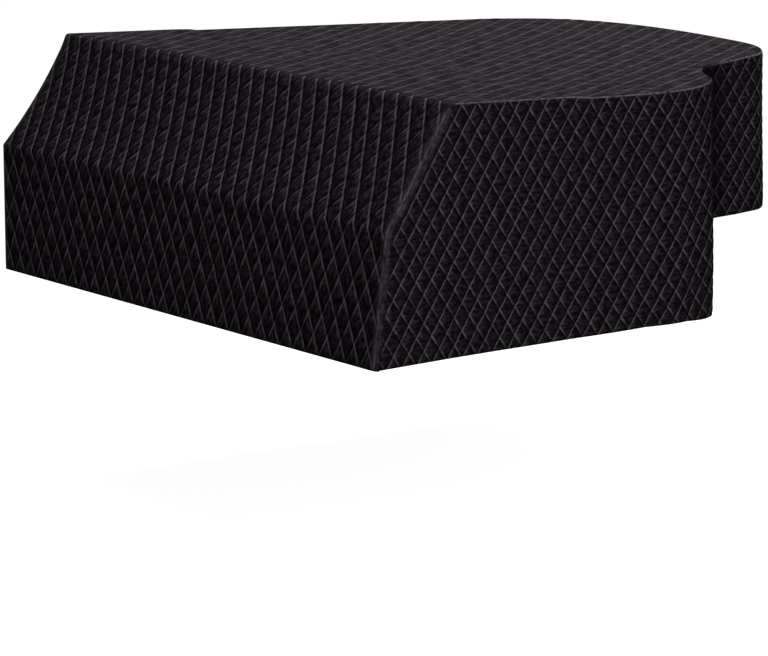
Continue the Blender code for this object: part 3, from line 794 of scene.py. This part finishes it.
stitching, given, result = new_group(
    "stitching",
    [("Phases", "Vector", None), ("First width", "Float", 0.05), ("Second width", "Float", 0.05),
     ("Waver", "Float", 0.06), ("Light side", "Float", 1.0), ("Second at its start", "Float", 1.0),
     ("Second at its end", "Float", 0.25), ("Ridge at", "Float", 0.33)],
    [("First thread", "Float"), ("Second thread", "Float"), ("Shade", "Float"), ("Ridge", "Float"),
     ("Relief", "Float")],
)
split = stitching.nodes.new("ShaderNodeSeparateXYZ")
stitching.links.new(given["Phases"], split.inputs[0])
waver = fit(stitching, "ShaderNodeTexNoise", (given["Phases"], None, 1.6, 1.0, 0.5), noise_dimensions="2D")
waver = calc(stitching, "SUBTRACT", waver, 0.5)
shift = calc(stitching, "MULTIPLY", waver, given["Waver"])
first, second = (calc(stitching, "ADD", phase, shift) for phase in split.outputs[:2])
from_first = calc(stitching, "FRACT", calc(stitching, "MULTIPLY", first, given["Light side"]))
from_second = calc(stitching, "FRACT", second)
threads = []
for phase, other, width in ((first, second, given["First width"]), (second, first, given["Second width"])):
    away = calc(stitching, "PINGPONG", phase, 0.5)
    core, rim = (calc(stitching, "MULTIPLY", width, share) for share in (0.3, 1.7))
    thread = ramp(stitching, away, core, rim, 1.0, 0.0)
    stitch = calc(stitching, "PINGPONG", calc(stitching, "MULTIPLY", other, STITCHES_A_SIDE), 0.5)
    thread = calc(stitching, "MULTIPLY", thread, ramp(stitching, stitch, 0.04, 0.16, 0.75, 1.0))
    threads.append((away, thread))
(away_first, first_thread), (away_second, second_thread) = threads
# Painted shade: the first line is dimmed just before the next crossing.
to_dim = calc(stitching, "ABSOLUTE", calc(stitching, "SUBTRACT", from_second, DIM_AT))
dimmed = ramp(stitching, to_dim, 0.02, 0.20, 0.45, 1.0)
tension = fit(stitching, "ShaderNodeTexNoise", (given["Phases"], None, 1.6, 1.0, 0.5), noise_dimensions="2D")
reach = ramp(stitching, from_first, 0.30, 0.92, given["Second at its start"], given["Second at its end"])
reach = calc(stitching, "MULTIPLY", reach, ramp(stitching, tension, 0.35, 0.62, 0.55, 1.15))
# Painted shade: the diamond darkens away from its lit corner.
turned = calc(stitching, "MULTIPLY", ramp(stitching, from_first, 0.08, 0.82, 1.0, 0.0),
              ramp(stitching, from_second, 0.10, 0.82, 1.0, 0.0))
shade = ramp(stitching, turned, 0.0, 1.0, 0.52, 1.0)
# Painted shade in the crease beside each line.
for travelled in (from_first, from_second):
    crease = calc(stitching, "ABSOLUTE", calc(stitching, "SUBTRACT", travelled, CREASE_AT))
    shade = calc(stitching, "MULTIPLY", shade, ramp(stitching, crease, 0.02, 0.10, 0.5, 1.0))
# Painted highlight: one slanting ridge of wadding across each diamond, drawn in the colour only.
slant = calc(stitching, "MULTIPLY", calc(stitching, "FRACT", first), RIDGE_LEAN)
ridge = calc(stitching, "SUBTRACT", calc(stitching, "SUBTRACT", second, slant), given["Ridge at"])
ridge = calc(stitching, "ADD", ridge, calc(stitching, "MULTIPLY", waver, 0.5))
ridge = calc(stitching, "PINGPONG", ridge, 0.5)
fading = ramp(stitching, from_first, 0.0, 0.75, 1.0, 0.0)
hollow = calc(stitching, "MULTIPLY", ramp(stitching, away_first, 0.0, 0.17),
              ramp(stitching, away_second, 0.0, 0.15))
ridge = calc(stitching, "MULTIPLY", ramp(stitching, ridge, 0.02, 0.11, 1.0, 0.0), fading)
stitching.links.new(calc(stitching, "MULTIPLY", first_thread, dimmed), result["First thread"])
stitching.links.new(calc(stitching, "MULTIPLY", second_thread, reach), result["Second thread"])
stitching.links.new(shade, result["Shade"])
stitching.links.new(ridge, result["Ridge"])
stitching.links.new(hollow, result["Relief"])
print("stitching group:", len(stitching.nodes), "nodes")

# %% [markdown]
# ### Puckers and weave
# Between the lines the wadding pulls the cloth into short streaks, which lighten and darken the colour as
# painted light and shade and also scale the bump. They are a noise that is stretched along one direction
# of the quilting and squeezed across it, so that they turn with the panel. The weave is a much finer noise
# along and across the diamonds. Slow patches vary the strength of everything, since no two hands' breadths
# of worn cloth look alike.

# %% The puckering group
WEAVE_COUNTS = (24.0, 35.0)  # the weave's grain along and across a diamond, to one phase
puckering, given, result = new_group(
    "puckering",
    [("Phases", "Vector", None), ("Level", "Float", 1.0), ("Pucker length", "Float", 1.0),
     ("Closeness", "Float", 4.0)],
    [("Streaks", "Float"), ("Weave", "Float"), ("Patches", "Float")],
)
split = puckering.nodes.new("ShaderNodeSeparateXYZ")
puckering.links.new(given["Phases"], split.inputs[0])
first, second = split.outputs[0], split.outputs[1]
along = calc(puckering, "ADD", first, calc(puckering, "MULTIPLY", second, given["Level"]))
over = calc(puckering, "SUBTRACT", second, calc(puckering, "MULTIPLY", first, given["Level"]))
streak_at = puckering.nodes.new("ShaderNodeCombineXYZ")
puckering.links.new(calc(puckering, "DIVIDE", along, given["Pucker length"]), streak_at.inputs[0])
puckering.links.new(calc(puckering, "MULTIPLY", over, given["Closeness"]), streak_at.inputs[1])
streaks = fit(puckering, "ShaderNodeTexNoise", (streak_at.outputs[0], None, 1.7, 3.0, 0.6),
              noise_dimensions="2D")
puckering.links.new(ramp(puckering, streaks, 0.36, 0.66), result["Streaks"])
weave_at = puckering.nodes.new("ShaderNodeCombineXYZ")
for socket, operation, threads_in_one in zip(weave_at.inputs, ("ADD", "SUBTRACT"), WEAVE_COUNTS):
    counted = calc(puckering, "MULTIPLY", calc(puckering, operation, first, second), threads_in_one)
    puckering.links.new(counted, socket)
weave = fit(puckering, "ShaderNodeTexNoise", (weave_at.outputs[0], None, 0.9, 2.0, 0.5),
            noise_dimensions="2D")
puckering.links.new(weave, result["Weave"])
patches = fit(puckering, "ShaderNodeTexNoise", (given["Phases"], None, 0.9, 2.0, 0.5), noise_dimensions="2D")
puckering.links.new(ramp(puckering, patches, 0.3, 0.7), result["Patches"])
print("puckering group:", len(puckering.nodes), "nodes")

# %% [markdown]
# ### The material of a panel
# One function makes each panel's material from the two groups, so all five are the same cloth with other
# strengths. Black is laid first and lightened by painted light and shade: the diamonds' painted shade,
# the streaks and the ridges' painted highlight. The painted highlight of the stitch lines comes next,
# then the painted highlight on the edges, whose noise is stretched along the edges, then the painted
# shade in the bend.
# The relief goes into a bump of one millimetre at most. The cloth is matt, so it has no gloss of its own.

# %% The black quilted cloth
BLACK = (0.0028, 0.0012, 0.0028, 1.0)
# Painted light: the colour of the diamonds where they are painted as lit.
LIT_BLACK = (0.0420, 0.0379, 0.0420, 1.0)
# Painted highlight along the stitch lines.
STITCH_HIGHLIGHT_GREY = (0.1120, 0.1015, 0.1120, 1.0)
# Painted highlight on the rounded edges.
HIGHLIGHT_GREY = (0.1050, 0.0950, 0.1050, 1.0)
HIGHLIGHT_NOISE_SCALES = (220.0, 75.0, 55.0)  # of the noise in the painted highlight on the edges, to a metre along x, y and z
PUCKER_TONE = 0.38       # the mean lightness between the lines
BEND_SHADE = 0.94        # how black the sheltered bend is


def read(tree, label):
    """One of the values kept at the cloth's points."""
    node = tree.nodes.new("ShaderNodeAttribute")
    node.attribute_name = label
    return node.outputs["Fac"]


def with_group(tree, group, phases, values):
    """Adds a group, gives it the phases and sets its other inputs by name."""
    node = tree.nodes.new("ShaderNodeGroup")
    node.node_tree = group
    tree.links.new(phases, node.inputs["Phases"])
    for label, value in values.items():
        if isinstance(value, bpy.types.NodeSocket):
            tree.links.new(value, node.inputs[label])
        else:
            node.inputs[label].default_value = value
    return node.outputs


def quilted_cloth(name, widths, light_side, second_family, ridge_at, level, pucker, thread, shading,
                  slope_family=None, waver=0.09):
    """Black cloth with a painted highlight on the stitches, diamonds whose painted shade deepens away from
    one side, and puckers between lines.

    `widths` are the two lines' widths, `light_side` is 1 or -1, `second_family` its strength at its start
    and its end, `slope_family` the same where the cloth leans back, `pucker` a length, a closeness and a
    contrast, `waver` how far the lines stray, `thread` the strength of the stitch lines' painted highlight,
    and `shading` the strength of the diamonds' painted shade."""
    material = bpy.data.materials.new(name)
    material.use_nodes = True
    tree = material.node_tree
    shader = tree.nodes["Principled BSDF"]
    phases = fit(tree, "ShaderNodeUVMap", uv_map="quilting")
    labels = ("quilted", "edge_highlight", "sheltered", "sloping")
    quilted, edge_highlight, sheltered, sloping = (read(tree, label) for label in labels)
    pairs = zip(second_family, slope_family or second_family)
    start, end = (ramp(tree, sloping, 0.0, 1.0, *pair) for pair in pairs)
    quilt = with_group(tree, stitching, phases, {
        "First width": widths[0], "Second width": widths[1], "Waver": waver, "Light side": light_side,
        "Second at its start": start, "Second at its end": end, "Ridge at": ridge_at,
    })
    length, closeness, contrast = pucker
    puckers = with_group(tree, puckering, phases, {
        "Level": level, "Pucker length": length, "Closeness": closeness,
    })
    streaks, weave, patches = puckers["Streaks"], puckers["Weave"], puckers["Patches"]
    # Painted light and shade: the diamonds darken away from their lit corner and in the creases.
    lit = ramp(tree, calc(tree, "MULTIPLY", quilted, shading), 0.0, 1.0, 1.0, quilt["Shade"])
    # Painted light and shade of the puckers: the streaks lighten and darken the colour.
    low, high = (PUCKER_TONE * (1 + way * contrast) for way in (-1, 1))
    lit = calc(tree, "MULTIPLY", lit, ramp(tree, streaks, 0.0, 1.0, low, high))
    # Painted highlight on the slanting ridge, stronger in some patches than others.
    ridge = calc(tree, "MULTIPLY", quilt["Ridge"], ramp(tree, patches, 0.0, 1.0, 0.05, 0.42))
    lit = calc(tree, "ADD", lit, calc(tree, "MULTIPLY", ridge, quilted))
    colour = mixed(tree, lit, BLACK, LIT_BLACK)
    plain = ramp(tree, edge_highlight, 0.02, 0.16, 1.0, 0.0)
    uneven = calc(tree, "MULTIPLY", ramp(tree, patches, 0.0, 1.0, 0.75, 1.0),
                  ramp(tree, streaks, 0.0, 1.0, 0.7, 1.0))
    # Painted highlight along the stitch lines, uneven in strength.
    for label, near_edge in (("Second thread", plain), ("First thread", 1.0)):
        pale = calc(tree, "MULTIPLY", calc(tree, "MULTIPLY", quilt[label], quilted),
                    calc(tree, "MULTIPLY", uneven, near_edge))
        colour = mixed(tree, calc(tree, "MULTIPLY", pale, thread), colour, STITCH_HIGHLIGHT_GREY)
    # Painted highlight on the rounded edges, broken up by a noise stretched along them.
    place = tree.nodes.new("ShaderNodeTexCoord").outputs["Object"]
    place = fit(tree, "ShaderNodeVectorMath", (place, HIGHLIGHT_NOISE_SCALES), operation="MULTIPLY")
    highlight_noise = fit(tree, "ShaderNodeTexNoise", (place, None, 1.0, 2.0, 0.6))
    highlighted = calc(tree, "MULTIPLY", edge_highlight, ramp(tree, highlight_noise, 0.36, 0.60, 0.25, 1.0))
    colour = mixed(tree, highlighted, colour, HIGHLIGHT_GREY)
    colour = mixed(tree, calc(tree, "MULTIPLY", sheltered, BEND_SHADE), colour, BLACK)
    tree.links.new(colour, shader.inputs["Base Color"])
    tree.links.new(ramp(tree, weave, 0.2, 0.8, 0.55, 0.75), shader.inputs["Roughness"])
    high = calc(tree, "MULTIPLY", quilt["Relief"], ramp(tree, streaks, 0.0, 1.0, 1.2, 2.0))
    high = calc(tree, "ADD", high, calc(tree, "MULTIPLY", quilt["First thread"], 0.3))
    high = calc(tree, "ADD", calc(tree, "MULTIPLY", high, quilted), calc(tree, "MULTIPLY", weave, 0.10))
    bump = tree.nodes.new("ShaderNodeBump")
    bump.inputs["Strength"].default_value = 1.0
    bump.inputs["Distance"].default_value = 0.001
    tree.links.new(high, bump.inputs["Height"])
    tree.links.new(bump.outputs[0], shader.inputs["Normal"])
    shader.inputs["Specular IOR Level"].default_value = 0.0
    return material


WALL = dict(light_side=1.0, second_family=(1.0, 0.10), ridge_at=0.33, level=1.0, pucker=(1.4, 2.3, 0.68),
            thread=0.94, shading=1.0)
FINISHES = {
    top_panel: quilted_cloth(
        "black_top_cloth", (0.070, 0.06), light_side=1.0, second_family=(0.25, 0.10), ridge_at=0.4,
        level=-0.5, pucker=(1.6, 0.65, 0.42), thread=0.54, shading=0.12),
    front_panel: quilted_cloth(
        "black_front_cloth", (0.056, 0.050), light_side=-1.0, second_family=(0.95, 0.28), ridge_at=0.14,
        level=0.0, pucker=(0.5, 2.6, 0.75), thread=0.96, shading=1.0, slope_family=(0.62, -0.25)),
    walls["treble"]: quilted_cloth("black_treble_cloth", (0.050, 0.054), **WALL),
    walls["tail"]: quilted_cloth("black_tail_cloth", (0.056, 0.060), **WALL),
    walls["bass"]: quilted_cloth("black_bass_cloth", (0.050, 0.054), **WALL),
}
for panel, material in FINISHES.items():
    panel.data.materials.append(material)
print(len(FINISHES), "finishes")
